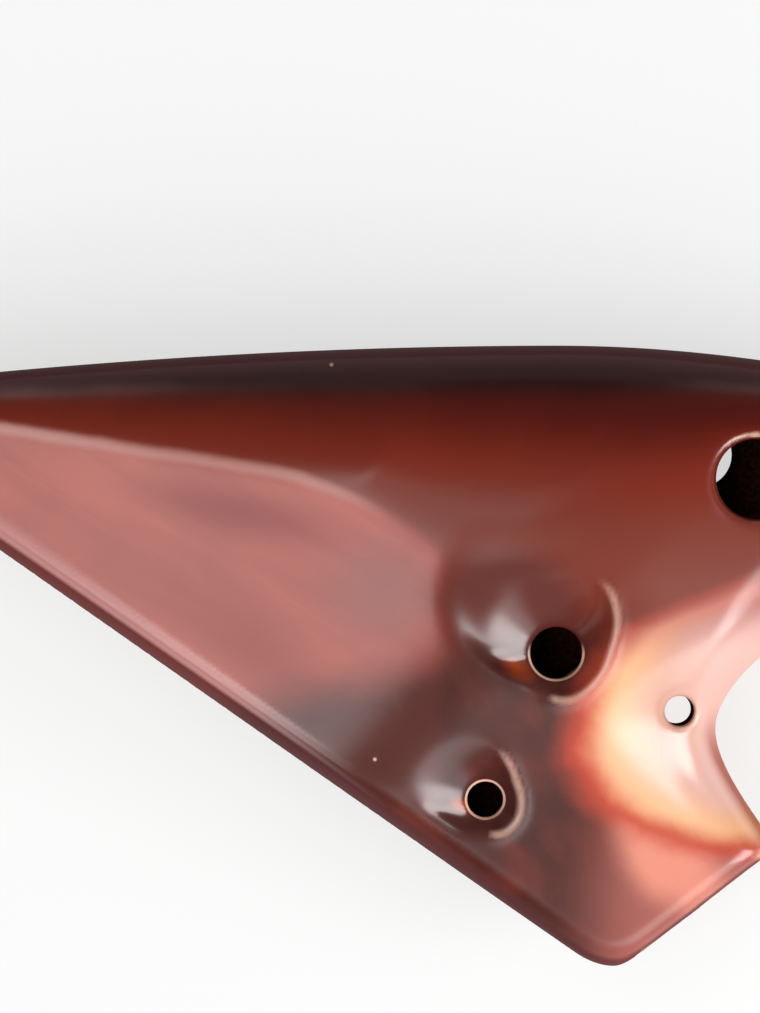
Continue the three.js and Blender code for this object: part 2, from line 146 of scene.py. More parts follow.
def make_outline():
    tail = plan(-0.4684, 0.385)
    tip = beak_point(-BEAK_WIDTH / 2, -BLOW_END_CUT)
    flank = beak_point(BEAK_WIDTH / 2, -BLOW_END_CUT)
    reach = plan(0.2073, -0.226)
    diagonal = unit_of(tip - tail)
    tail_foot = tail + np.array([diagonal[1], -diagonal[0]]) * TAIL_WIDTH
    tip_start, tip_end = [towards(tip, place, TIP_CORNER) for place in (tail_foot, flank)]
    flank_start, flank_end = [towards(flank, place, FLANK_CORNER) for place in (tip, reach)]
    notch, bulb = plan(0.3277, 0.088), plan(0.5, 0.2257)
    crest, bend, top_tail = plan(0.065, 0.5), plan(-0.199, 0.5), plan(-0.4716, 0.4372)
    top = [crest, bend, top_tail]
    tail_end = [
        top_tail,
        towards(top_tail, bend, -TAIL_BULGE),
        tail_foot - diagonal * TAIL_BULGE,
        tail_foot,
    ]
    beak_rolls = (BEAK_ROLL, BEAK_ROLL)
    parts = [
        stretch([tail_foot, tip_start], (EDGE_ROLL, EDGE_ROLL), (TIGHT, TIGHT)),
        stretch([tip_start, tip, tip_end], (EDGE_ROLL, BEAK_ROLL), (TIGHT, ROUND)),
        stretch([tip_end, flank_start], beak_rolls),
        stretch([flank_start, flank, flank_end], beak_rolls),
        stretch([flank_end, reach, plan(0.1869, -0.1644), NECK], (BEAK_ROLL, NECK_ROLL)),
        stretch([NECK, plan(0.1864, -0.0486), plan(0.2486, 0.0787), notch], (NECK_ROLL, BULB_ROLL)),
        stretch([notch, plan(0.411, 0.0926), plan(0.5, 0.1042), bulb], (BULB_ROLL, BULB_ROLL)),
        stretch([bulb, plan(0.5, 0.382), plan(0.254, 0.5), crest], (BULB_ROLL, CREST_ROLL)),
        stretch(top, (CREST_ROLL, BEND_ROLL), (ROUND, SLACK), (0, BEND_SHARE)),
        stretch(top, (BEND_ROLL, TAIL_ROLL), (SLACK, SLACK), (BEND_SHARE, 1)),
        stretch(tail_end, (TAIL_ROLL, EDGE_ROLL), (SLACK, TIGHT)),
    ]
    return np.concatenate(parts)


outline = make_outline()
print("outline:", len(outline), "points")

# %% [markdown]
# The clay form
# The shape isn't made of primitives: it swells in the middle, thins to the beak, and sinks
# into a web by the lanyard hole. The form is therefore a field, a number at each place that
# is negative inside the clay. A map in plan says how much the edge has rolled over, another
# says how thick the clay is, and together they give the field at any height.

# %% Grid that the field is measured on
# A finer one would give a shell over 200,000 triangles.
CELL = 0.53
MARGIN = 1.6
LOW = np.array([-BODY[0] / 2 - MARGIN, -BODY[1] / 2 - MARGIN, -MARGIN])
HIGH = np.array([BODY[0] / 2 + MARGIN, BODY[1] / 2 + MARGIN, JOINT + BACK_HEIGHT + MARGIN])
FAR = 1e6
COUNT = np.ceil((HIGH - LOW) / CELL).astype(int) + 1
GRID_X, GRID_Y, GRID_Z = [
    (LOW[axis] + CELL * np.arange(COUNT[axis])).astype(np.float32) for axis in range(3)
]
PLAN_X, PLAN_Y = np.meshgrid(GRID_X, GRID_Y, indexing="ij")
print("grid:", COUNT, "cells of", CELL, "mm")


# %% How far the edge has rolled over
def to_segment(a, b):
    """For each place in plan, the nearest spot on a straight piece, as a share, and how far."""
    dx, dy = b[0] - a[0], b[1] - a[1]
    share = np.clip(((PLAN_X - a[0]) * dx + (PLAN_Y - a[1]) * dy) / (dx * dx + dy * dy), 0, 1)
    return share, np.hypot(PLAN_X - a[0] - share * dx, PLAN_Y - a[1] - share * dy)


def crosses(a, b):
    """True where a line drawn from a place towards +X crosses a straight piece."""
    dx, dy = b[0] - a[0], b[1] - a[1]
    if not dy:
        return np.zeros(PLAN_X.shape, bool)
    between = (a[1] > PLAN_Y) != (b[1] > PLAN_Y)
    return between & (PLAN_X < a[0] + dx * (PLAN_Y - a[1]) / dy)


def roll_maps(variants):
    """For each (inset, widest roll): 0 where the roll has ended, 1 on the rim, more outside."""
    within = [np.zeros_like(PLAN_X) for _ in variants]
    outside = [np.full_like(PLAN_X, FAR) for _ in variants]
    is_inside = np.zeros(PLAN_X.shape, bool)
    for a, b in zip(outline, np.roll(outline, -1, 0)):
        t, distance = to_segment(a, b)
        for n, (inset, widest) in enumerate(variants):
            roll = np.maximum(np.minimum(a[2] + t * (b[2] - a[2]), widest) - inset, LEAST_ROLL)
            power = ROUND if widest < CREST_ROLL else a[3] + t * (b[3] - a[3])
            inner = np.maximum(1 - (distance - inset) / roll, 0) ** power
            within[n] = np.maximum(within[n], inner)
            outside[n] = np.minimum(outside[n], (1 + (distance + inset) / roll) ** power)
        is_inside ^= crosses(a, b)
    return [np.where(is_inside, near, far) for near, far in zip(within, outside)]


roll_back, roll_front, roll_back_in, roll_front_in = roll_maps(
    [(0, CREST_ROLL), (0, FRONT_ROLL), (WALL, CREST_ROLL), (WALL, FRONT_ROLL)]
)


# %% How thick the clay is
def smooth_least(a, b, blend):
    """The lesser of two values, with the crease between them blended away."""
    share = np.maximum(blend - np.abs(a - b), 0) / blend
    return np.minimum(a, b) - share * share * blend / 4


def smooth_most(a, b, blend):
    return -smooth_least(-a, -b, blend)


def smooth_step(low, high, value):
    """0 below low, 1 above high, smooth between."""
    share = np.clip((value - low) / (high - low), 0, 1)
    return share * share * (3 - 2 * share)


THICKEST_SHARE = 0.124  # where along the body it is thickest
SWELL_SHARE = 0.735  # how far from there it would thin to nothing
SWELL_BLEND = 3.0
BEAK_THICKNESS = 6.6
BEAK_RISE = 14.2  # what it has become, BEAK_RISE_LENGTH away from the blow end
BEAK_RISE_LENGTH = 30.5
BEAK_POWER = 1.25  # how the beak's thickness gathers pace away from its blow end
WEB_CENTRE = plan(0.2802, -0.1331)
WEB_RADIUS = 15.6
WEB_THICKNESS = 4.4
WEB_OUTWARD = 0.516  # gained on each millimetre away from the centre
WEB_UPWARD = 0.53  # gained on each millimetre from the neck towards the bulb
WEB_SOFT = 5.0
WEB_BLEND = 1.6


def web_thickness():
    away = np.hypot(PLAN_X - WEB_CENTRE[0], PLAN_Y - WEB_CENTRE[1])
    outward = np.maximum(away - WEB_RADIUS, 0)
    upward = PLAN_Y - NECK[1]
    rise = WEB_UPWARD * (upward + np.hypot(upward, WEB_SOFT)) / 2
    return WEB_THICKNESS + WEB_OUTWARD * outward + rise


def from_blow_end():
    """How far each place lies from the flat blow end, towards the body."""
    return (PLAN_X - BEAK_END[0]) * INWARD[0] + (PLAN_Y - BEAK_END[1]) * INWARD[1]


def thickness(most):
    """How thick one half of the form is, up or down from the joint."""
    along = (PLAN_X / BODY[0] - THICKEST_SHARE) / SWELL_SHARE
    share = np.maximum(from_blow_end(), 0) / BEAK_RISE_LENGTH
    beak = BEAK_THICKNESS + (BEAK_RISE - BEAK_THICKNESS) * share**BEAK_POWER
    body = smooth_least(most * (1 - along * along), beak, SWELL_BLEND)
    return smooth_least(body, web_thickness(), WEB_BLEND)


full_back, thick_front = thickness(BACK_HEIGHT), thickness(FRONT_HEIGHT)
print("thickest:", full_back.max(), thick_front.max())

# %% [markdown]
# The scooped windows
# Each window is a round hole at the foot of a scoop, cut with a knife and rounded with a
# thumb: away from the beak it is a straight ramp, which splits the breath, under the ramp a
# short wall rises to a crisp edge, and on the beak's side the bowl stops at a raised rim. So
# the scoop is a dent in the thickness whose reach and profile change with the direction.

# %% Windows: reach in each direction, in degrees and millimetres
MAIN_WINDOW = {
    "place": np.array([10.7, 0.7]),
    "radius": 3.6,
    "depth": 3.9,
    "ramp_depth": 3.9,
    "slot_offset": 5.8,
    "slot_width": 8.0,
    "rim": [
        (-169, 9.0), (-143, 6.6), (-103, 5.8), (-79, 6.5), (-69, 6.6), (-37, 6.5), (4, 7.2),
        (30, 9.3), (51, 11.2), (100, 11.5), (136, 14.6), (163, 14.4),
    ],
    "bowl": (-100, 48),
}
HIGH_WINDOW = {
    "place": np.array([0.97, -19.5]),
    "radius": 2.5,
    "depth": 3.1,
    "ramp_depth": 2.7,
    "slot_offset": -5.8,
    "slot_width": 7.0,
    "rim": [
        (-158, 6.4), (-93, 4.4), (-60, 5.2), (-32, 5.1), (-4, 4.8), (33, 4.7), (67, 6.3),
        (97, 8.4), (140, 9.9), (171, 10.6),
    ],
    "bowl": (-84, 66),
}
RAMP_STRETCH = 1.15  # the ramp runs out a little before its reach
RAMP_SOFT = 0.3
WALL_SLOPE = 0.85
WALL_SOFT = 0.25
LIP_HEIGHT = 0.3
LIP_SHARE = 1.03  # where the raised lip runs, as a share of the reach
LIP_WIDTH = 0.75
TRACE = 0.01  # less than this of a scoop is none


def step_over(place, before, after, angle):
    """0 to 1 over the directions from some degrees before a place to some after it."""
    return smooth_step(place - before, place + after, angle)


def by_direction(angle, table, blur=24, spread=10.0):
    """A number that changes smoothly with the direction, from a table of a few, in degrees."""
    turns = np.arange(-180, 180, 1.0)
    ring = np.interp(turns, *np.array(table).T, period=360)
    soft = np.exp(-((np.arange(-blur, blur + 1) / spread) ** 2))
    ring = np.convolve(np.r_[ring[-blur:], ring, ring[:blur]], soft / soft.sum(), "valid")
    return np.interp(angle, turns, ring, period=360)


def from_place(place):
    """Distance and direction, in degrees, of each place in plan."""
    dx, dy = PLAN_X - place[0], PLAN_Y - place[1]
    return np.hypot(dx, dy), np.degrees(np.arctan2(dy, dx))


def scoop_map(window):
    """How much the scoop takes off the thickness, and where its crisp rim runs."""

    def ramp(share):
        return window["ramp_depth"] * smooth_most(1 - share * RAMP_STRETCH, 0.0, RAMP_SOFT)

    distance, angle = from_place(window["place"])
    reach = by_direction(angle, window["rim"])
    last_reach = window["rim"][-1][1]
    first, last = window["bowl"]
    share = distance / reach
    bowl = step_over(first, 12, 12, angle) * (1 - step_over(last, 10, 30, angle))
    round_dent = window["depth"] * np.maximum(1 - share * share, 0)
    floor = ramp(distance / np.where(angle < 0, np.maximum(reach, last_reach), reach))
    wall = smooth_least(floor, WALL_SLOPE * np.maximum(reach - distance, 0), WALL_SOFT)
    under_ramp = step_over(-180, 0, 8, angle) * (1 - step_over(first, 6, 6, angle))
    side = under_ramp * wall + (1 - under_ramp) * ramp(share)
    dent = np.maximum(bowl * round_dent + (1 - bowl) * side, 0)
    lip = LIP_HEIGHT * bowl * np.exp(-(((share - LIP_SHARE) * reach / LIP_WIDTH) ** 2))
    return dent - lip, lip


# The hollow that the main window lies in: a wall towards the plateau, open to the web
HOLLOW_DEPTH = 1.1
HOLLOW_SOFT = 0.35
HOLLOW_REACH = [
    (-169, 9.6), (-176, 11.6), (168, 15.4), (155, 17.6), (142, 20.4), (125, 19.5), (100, 17),
    (60, 16), (30, 14), (0, 12), (-40, 9), (-80, 7.5), (-120, 7),
]
HOLLOW_WALL = [(-169, 3), (180, 3.6), (165, 4), (142, 5), (120, 8), (60, 10), (0, 7), (-80, 3)]
HOLLOW_SIDES = [(-172, 1), (60, 1), (10, 0), (-150, 0)]  # 1 where there is a hollow at all


def hollow_map():
    distance, angle = from_place(MAIN_WINDOW["place"])
    edge = by_direction(angle, HOLLOW_REACH)
    start = edge - by_direction(angle, HOLLOW_WALL)
    fall = (distance - start) / (edge - start)
    eased = smooth_least(smooth_most(1 - fall, 0.0, HOLLOW_SOFT), 1.0, HOLLOW_SOFT)
    return HOLLOW_DEPTH * eased * by_direction(angle, HOLLOW_SIDES)


thick_back = full_back - hollow_map()
scoop_main, lip_main = scoop_map(MAIN_WINDOW)
scoop_high, lip_high = scoop_map(HIGH_WINDOW)
thick_scooped = thick_back - scoop_main - scoop_high
print("deepest scoops:", scoop_main.max(), scoop_high.max())


# %% Distance to the surface of the form, and of the chambers in it
LEAST_RISE = 0.02
LEAST_ROOM = 1.5


def field_of(roll, roll_under, thick, thick_under):
    """The field over and under the joint, as a distance near its surface."""
    height = (GRID_Z - JOINT)[None, None, :]
    over = roll[:, :, None] + (height / thick[:, :, None]) ** 2 - 1
    under = roll_under[:, :, None] + (height / thick_under[:, :, None]) ** 2 - 1
    field = np.where(height > 0, over, under).astype(np.float32)
    rise = np.sqrt(sum(part * part for part in np.gradient(field, CELL)))
    return field / np.maximum(rise, LEAST_RISE)


def soften(field, times):
    """A small blur, which rounds creases as a coat of glaze does."""
    for _ in range(times):
        for axis in range(3):
            ends = [field.take([0], axis), field, field.take([-1], axis)]
            padded = np.concatenate(ends, axis)
            length = field.shape[axis]
            low, mid, high = [padded.take(range(n, n + length), axis) for n in range(3)]
            field = 0.25 * low + 0.5 * mid + 0.25 * high
    return field


def volume(field):
    """What a field encloses, in whole cubic centimetres."""
    return int((field < 0).sum() * CELL**3 / 1000)


form = soften(field_of(roll_back, roll_front, thick_scooped, thick_front), 1)
room_back, room_front = [np.maximum(most - WALL, LEAST_ROOM) for most in (thick_back, thick_front)]
chamber = field_of(roll_back_in, roll_front_in, room_back, room_front)
print("clay form:", volume(form), "cubic centimetres")

# %% [markdown]
# Cutting the form
# The potter hollows the clay, cuts the windways and pierces the holes. Each cut is a field,
# and taking the larger of the form and the cut turned inside out removes it.
# Blending the two over a short distance rounds the rim, more at the thumb hole, which a
# finger rubs smooth, and less at the windows, which have to be sharp to sound.

# %% Windways
UP = GRID_Z[None, None, :]
BLOCK_RISE = 0.6  # the block's top over the joint, at the blow end
BLOCK_SINK = 0.15
WINDWAY_HEIGHT = 2.2
SLIT_HEIGHT = 0.8  # where the breath leaves the windway
SLIT_DROP = 0.9  # the slit's floor under the chamber's ceiling
SLOT_OVERRUN = 1.0  # how far the windway runs on into the window's hole


def sample_plan(values, place):
    """A map's value at the grid's point nearest to a place."""
    i, j = [int(round((place[axis] - LOW[axis]) / CELL)) for axis in (0, 1)]
    return float(values[i, j])


def windway_of(window):
    """The line of the breath: from the blow end to the near edge of the window's hole."""
    start = beak_point(window["slot_offset"], 0)
    place = window["place"]
    way = unit_of(place - start)
    side = np.array([way[1], -way[0]])
    end = place - way * window["radius"]
    end_floor = JOINT + sample_plan(thick_back, place) - WALL - SLIT_DROP
    return {**window, "start": start, "way": way, "side": side, "end": end, "end_floor": end_floor}


def slot_field(windway):
    """Negative in the windway and the room for the block under it."""
    dx, dy = PLAN_X - windway["start"][0], PLAN_Y - windway["start"][1]
    along = dx * windway["way"][0] + dy * windway["way"][1]
    sideways = np.abs(dx * windway["side"][0] + dy * windway["side"][1])
    length = np.linalg.norm(windway["end"] - windway["start"])
    start_top = JOINT + BLOCK_RISE + WINDWAY_HEIGHT
    end_top = windway["end_floor"] + SLIT_HEIGHT
    top = start_top + (end_top - start_top) * along / length
    flat = np.maximum(sideways - windway["slot_width"] / 2, along - length - SLOT_OVERRUN)
    high = np.maximum(UP - top[:, :, None], JOINT - BLOCK_SINK - UP)
    return np.maximum(flat[:, :, None], high)


main_windway = windway_of(MAIN_WINDOW)
high_windway = windway_of(HIGH_WINDOW)


# %% Clay left solid round the windways, in the tail and under the scoops
def polygon_distance(ring):
    """Distance in plan to a closed ring of points, negative inside it."""
    least = np.full_like(PLAN_X, FAR)
    is_inside = np.zeros(PLAN_X.shape, bool)
    for a, b in zip(ring, np.roll(ring, -1, 0)):
        least = np.minimum(least, to_segment(a, b)[1])
        is_inside ^= crosses(a, b)
    return np.where(is_inside, -least, least)


WIDE = 263.0  # past the body on every side
ROOT_SIDE = 8.0  # clay beside the main windway
HIGH_ROOT_SIDE = 7.0
LANYARD = plan(0.1571, -0.0856)
LANYARD_RADIUS = 2.1
LANYARD_CLAY = 6.0
TAIL_SOLID_SHARE = 0.405
SCOOP_WALL = 1.8
ROOM_BLEND = 3.0
CEILING_BLEND = 0.6

web_y = LANYARD[1] + LANYARD_RADIUS + LANYARD_CLAY
high_end, high_side = high_windway["end"], high_windway["side"]
main_end, main_side = main_windway["end"], main_windway["side"]
root_ring = np.array([
    high_end - high_side * WIDE,
    high_end + high_side * HIGH_ROOT_SIDE,
    main_end - main_side * ROOT_SIDE,
    main_end + main_side * ROOT_SIDE,
    (LANYARD[0], web_y),
    (WIDE, web_y),
    (WIDE, -WIDE),
])
root = polygon_distance(root_ring)[:, :, None]
tail_stop = (-TAIL_SOLID_SHARE * BODY[0] - PLAN_X)[:, :, None]
scooped_ceiling = UP - (JOINT + thick_scooped[:, :, None] - SCOOP_WALL)
for stop, blend in ((-root, ROOM_BLEND), (tail_stop, ROOM_BLEND), (scooped_ceiling, CEILING_BLEND)):
    chamber = smooth_most(chamber, stop, blend)


# %% Holes: shares of the body's length and depth, and the radius in millimetres
FINGER_HOLES = [
    (-0.35, 0.333, 2.4), (-0.262, 0.31, 3.3), (-0.167, 0.315, 3.9), (-0.1384, 0.2338, 1.8),
    (-0.072, 0.307, 4.1), (0.076, 0.3, 4.3), (0.178, 0.325, 4.5), (0.277, 0.307, 4.5),
    (0.262, 0.19, 2.1), (0.375, 0.24, 3.8), (-0.017, -0.156, 3.1), (-0.092, -0.052, 2.9),
    (-0.172, 0.046, 2.5),
]
THUMB_HOLE = plan(0.2153, 0.2847)
THUMB_RADIUS = 5.5
WINDOW_DROP = 2.0  # how far a window's hole goes on under the slit's floor

# How widely each rim is rounded
FINGER_RIM = 1.8
LANYARD_RIM = 1.2
BLOW_END_RIM = 0.8
CUT_RIM = 0.5
WINDOW_RIM = 0.45
FOOT_RIM = 1.5


def bore(place, radius):
    """Negative in an upright round hole."""
    return np.hypot(PLAN_X - place[0], PLAN_Y - place[1])[:, :, None] - radius


def cut(field, tool, rim):
    """Takes a tool's inside out of a field and rounds the rim that this leaves."""
    return smooth_most(field, -tool, rim)


solid = cut(form, chamber, CUT_RIM)
solid = cut(solid, np.maximum(bore(THUMB_HOLE, THUMB_RADIUS), JOINT - UP), FINGER_RIM)
for x_share, y_share, radius in FINGER_HOLES:
    solid = cut(solid, np.maximum(bore(plan(x_share, y_share), radius), UP - JOINT), FINGER_RIM)
solid = cut(solid, bore(LANYARD, LANYARD_RADIUS), LANYARD_RIM)
for windway in (main_windway, high_windway):
    solid = cut(solid, slot_field(windway), CUT_RIM)
    hole = bore(windway["place"], windway["radius"])
    solid = cut(solid, np.maximum(hole, windway["end_floor"] - WINDOW_DROP - UP), WINDOW_RIM)
solid = cut(solid, from_blow_end()[:, :, None], BLOW_END_RIM)
solid = cut(solid, UP, FOOT_RIM).astype(np.float32)
print("clay left:", volume(solid), "cubic centimetres")

# %% [markdown]
# From the field to a mesh
# A surface net puts one point in each cell of the grid that the surface crosses and joins
# them round each crossed edge. Where two walls of clay only touch at a corner of the grid,
# they are parted first, so that no edge has four faces. The points are then eased towards
# their neighbours and drawn back onto the surface, so that the grid's steps don't show.

# %% Surface net
CORNERS = np.array([[c & 1, (c >> 1) & 1, c >> 2] for c in range(8)])
EDGES = [(c, c + step) for c in range(8) for step in (1, 2, 4) if not c & step]


def surface_net(values):
    """Points on the surface where the values change sign, and the four-sided faces on them."""
    below = values < 0
    size = np.array(values.shape) - 1
    inside_count = np.zeros(size, np.int8)
    for dx, dy, dz in CORNERS:
        inside_count += below[dx : dx + size[0], dy : dy + size[1], dz : dz + size[2]]
    crossed = (inside_count > 0) & (inside_count < 8)
    cells = np.argwhere(crossed)
    number = np.full(size, -1, np.int64)
    number[crossed] = np.arange(len(cells))
    at = [values[tuple((cells + corner).T)] for corner in CORNERS]
    total, hits = np.zeros((len(cells), 3)), np.zeros(len(cells))
    for p, q in EDGES:
        hit = (at[p] < 0) != (at[q] < 0)
        share = at[p][hit] / (at[p][hit] - at[q][hit])
        total[hit] += CORNERS[p] + share[:, None] * (CORNERS[q] - CORNERS[p])
        hits[hit] += 1
    points = (cells + total / hits[:, None]) * CELL + LOW
    quads = []
    for axis in range(3):
        u, v = np.eye(3, dtype=int)[[(axis + 1) % 3, (axis + 2) % 3]]
        ahead = np.roll(below, -1, axis)
        change = below != ahead
        change[tuple(slice(-1, None) if n == axis else slice(None) for n in range(3))] = False
        spots = np.argwhere(change)
        ring = np.stack([number[tuple((spots - shift).T)] for shift in (0 * u, u, u + v, v)], 1)
        starts_inside = below[tuple(spots.T)]
        ring[~starts_inside] = ring[~starts_inside][:, ::-1]
        quads.append(ring)
    return points, np.concatenate(quads)


def part_touching(values):
    """Opens each grid face whose corners alternate in sign, by its corner that is least deep.

    It changes the values themselves and tells how many such faces it found.
    """
    found = 0
    for axis in range(3):
        u, v = np.eye(3, dtype=int)[[n for n in range(3) if n != axis]]
        steps = (0 * u, u, u + v, v)
        size = np.array(values.shape) - u - v
        parts = [tuple(slice(a, a + n) for a, n in zip(step, size)) for step in steps]
        below = [(values < 0)[part] for part in parts]
        mixed = (below[0] == below[2]) & (below[1] == below[3]) & (below[0] != below[1])
        for spot in np.argwhere(mixed):
            corners = [tuple(spot + step) for step in steps]
            deep = [corner for corner in corners if values[corner] < 0]
            if deep:
                least_deep = max(deep, key=lambda corner: values[corner])
                values[least_deep] = -values[least_deep]
            found += 1
    return found


PARTING_ROUNDS = 8  # opening one face can make another, so it is repeated
for _ in range(PARTING_ROUNDS):
    if not part_touching(solid):
        break
points, quads = surface_net(solid)
print("net:", len(points), "points,", len(quads), "faces")

# %% Reading the field between the grid's points
TINY = 1e-6  # keeps a division by nothing away
EASING_ROUNDS = 5
slope = np.stack(np.gradient(solid, CELL), -1)


def read(values, places):
    """A field's value at any places, blended from the eight corners round each."""
    spot = np.clip((places - LOW) / CELL, 0, np.array(values.shape[:3]) - 1.001)
    base = spot.astype(int)
    part = spot - base
    total = 0
    for corner in CORNERS:
        weight = np.prod(np.where(corner, part, 1 - part), axis=1)
        value = values[tuple((base + corner).T)]
        total = total + value * (weight[:, None] if value.ndim > 1 else weight)
    return total


def settle(places, rings, times):
    """Eases the points towards their neighbours and draws them back onto the surface."""
    one = rings.ravel()
    other = np.roll(rings, -1, 1).ravel()
    count = np.bincount(one, minlength=len(places))[:, None]
    for _ in range(times):
        middle = np.stack([np.bincount(one, places[other, n], len(places)) for n in range(3)], 1)
        places = places + 0.5 * (middle / count - places)
        rise = read(slope, places)
        move = -read(solid, places)[:, None] * rise
        move /= np.maximum((rise * rise).sum(1), TINY)[:, None]
        far = np.linalg.norm(move, axis=1)[:, None]
        places = places + move * np.minimum(1, CELL / 3 / np.maximum(far, TINY))
    return places


points = settle(points, quads, EASING_ROUNDS)
print("off the surface by", np.abs(read(solid, points)).max(), "mm")

# %% [markdown]
# Four skins
# The clay was joined from two shells and a beak in two halves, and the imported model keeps
# them apart. The net is cut along the same joints, and each cut is capped, so every piece is
# closed. The wet joints were smoothed away, so the surface has to run on across them: each
# point takes its normal from the field, and not from the faces round it. Where the soft form
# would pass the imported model's box, it is eased back over a long stretch.

# %% Cutting the net along the joints
MM = 0.001


def cut_and_cap(mesh, place, normal, zone, keeps):
    """Cuts a closed mesh by a plane inside a zone and caps the part that it keeps."""
    bm = bmesh.new()
    bm.from_mesh(mesh)
    chosen = [face for face in bm.faces if zone(face.calc_center_median())]
    edges = {edge for face in chosen for edge in face.edges}
    verts = {vert for face in chosen for vert in face.verts}
    geom = chosen + list(edges) + list(verts)
    parted = bmesh.ops.bisect_plane(bm, geom=geom, dist=1e-7, plane_co=place, plane_no=normal)
    seam = [item for item in parted["geom_cut"] if isinstance(item, bmesh.types.BMEdge)]
    gone = [face for face in bm.faces if not keeps(face.calc_center_median())]
    bmesh.ops.delete(bm, geom=gone, context="FACES")
    seam = [edge for edge in seam if edge.is_valid and len(edge.link_faces) == 1]
    bmesh.ops.triangle_fill(bm, edges=seam, normal=normal)
    result = bpy.data.meshes.new("skin")
    bm.to_mesh(result)
    open_edges = sum(1 for edge in bm.edges if len(edge.link_faces) != 2)
    bm.free()
    return result, open_edges


beak_co = Vector((*(beak_point(0, BEAK_LENGTH) * MM), 0))
beak_no = Vector((*INWARD, 0))
beak_side = Vector((*ACROSS, 0))


def near_beak(place):
    return abs((place - beak_co).dot(beak_side)) < BEAK_WIDTH * MM


def in_beak(place):
    """True on the blow end's side of the joint between beak and shell."""
    return near_beak(place) and (place - beak_co).dot(beak_no) < 0


whole = bpy.data.meshes.new("net")
whole.from_pydata((points * MM).tolist(), [], quads.tolist())
joint_co, joint_no = Vector((0, 0, JOINT * MM)), Vector((0, 0, 1))
skins = {}
for half, sign in (("back", 1), ("front", -1)):
    side_mesh, _ = cut_and_cap(
        whole, joint_co, joint_no, lambda p: True, lambda p: (p.z - joint_co.z) * sign > 0
    )
    for node, wants_beak in ((f"{half}_shell", False), (f"beak_{half}", True)):
        skins[node], open_edges = cut_and_cap(
            side_mesh, beak_co, beak_no, near_beak, lambda p: in_beak(p) == wants_beak
        )
        print(node, len(skins[node].polygons), "faces,", open_edges, "open edges")

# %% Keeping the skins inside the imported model's box
BOX_MARGIN = 0.02
DRAWN_STRETCH = np.array([26.0, 12.0, 6.0])  # over which the surface is eased back
low_box, high_box = [np.array(corner) / MM for corner in CAD_BOX]
over_low = np.maximum(low_box + BOX_MARGIN - points.min(0), 0)
over_high = np.maximum(points.max(0) - high_box + BOX_MARGIN, 0)
print("drawn in by", over_low.round(2), over_high.round(2), "mm")


def drawn_in(places):
    """The places, eased back over the last stretch where the net would pass the box."""
    from_high = (places - (points.max(0) - DRAWN_STRETCH)) / DRAWN_STRETCH
    from_low = ((points.min(0) + DRAWN_STRETCH) - places) / DRAWN_STRETCH
    ease = [np.clip(share, 0, 1) ** 2 for share in (from_high, from_low)]
    return places - over_high * ease[0] + over_low * ease[1]


# %% [markdown]
# Marks for the glaze
# Glaze behaves by shape: it thins on a sharp rim and stays off the bare inside. The field
# knows where those are, so each point of a skin carries them as marks. Two more marks say how
# steep a point is and how far it faces out over the straight edge: the glaze paints shade on
# the steep flanks and a highlight along that edge by them.

# %% Normals and the marks that the glaze reads
def as_field(values):
    """A map in plan as a field that is the same at every height."""
    return np.broadcast_to(values[:, :, None], solid.shape)


lips = lip_main + lip_high
rim_marks = as_field(lips / LIP_HEIGHT)
in_scoop = (scoop_main > TRACE) | (scoop_high > TRACE) | (lips > TRACE)
near_windows = as_field(in_scoop * 1.0)
unit = slope / np.maximum(np.linalg.norm(slope, axis=3, keepdims=True), TINY)
bend = sum(np.gradient(unit[..., axis], CELL, axis=axis) for axis in range(3))
bend = soften(bend, 2)
slope = np.stack([soften(slope[..., axis], 1) for axis in range(3)], -1)
STRAIGHT_EDGE = math.radians(232)  # where the straight edge faces, in plan
STRAIGHT_OUT = np.array([math.cos(STRAIGHT_EDGE), math.sin(STRAIGHT_EDGE)])


def put(name, data):
    """A new object in the scene."""
    thing = bpy.data.objects.new(name, data)
    bpy.context.scene.collection.objects.link(thing)
    return thing


def dress(node, mesh):
    """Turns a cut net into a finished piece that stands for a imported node."""
    places = np.empty(len(mesh.vertices) * 3, np.float64)
    mesh.vertices.foreach_get("co", places)
    places = places.reshape(-1, 3) / MM
    normals = read(slope, places)
    normals /= np.maximum(np.linalg.norm(normals, axis=1), TINY)[:, None]
    over = places[:, 2] > JOINT
    marks = {
        "thin": smooth_step(0.3, 1.0, read(bend, places)) * (1 - read(near_windows, places)),
        "rim": smooth_step(0.3, 0.95, read(rim_marks, places)) * over,
        "inside": smooth_step(0.9, 2.6, -read(form, places)),
        # flank and edge place painted shade on steep sides and a painted highlight along the
        # straight edge
        "flank": smooth_step(0.36, 0.6, 1 - np.abs(normals[:, 2])),
        "edge": smooth_step(0.12, 0.3, normals[:, :2] @ STRAIGHT_OUT),
    }
    for name, values in marks.items():
        attribute = mesh.attributes.new(name, "FLOAT", "POINT")
        attribute.data.foreach_set("value", values.astype(np.float32))
    mesh.vertices.foreach_set("co", (drawn_in(places) * MM).ravel())
    mesh.polygons.foreach_set("use_smooth", np.ones(len(mesh.polygons), bool))
    mesh.update()
    mesh.normals_split_custom_set_from_vertices(normals.tolist())
    piece = put(f"{node}_skin", mesh)
    mesh.name = piece.name
    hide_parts(node)
    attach(piece, "root")
    return piece


pieces = {node: dress(node, mesh) for node, mesh in skins.items()}

# %% [markdown]
# Shader maths
# Materials below are written as expressions. A small class wraps a socket, so that sums and
# products of sockets add their own nodes.


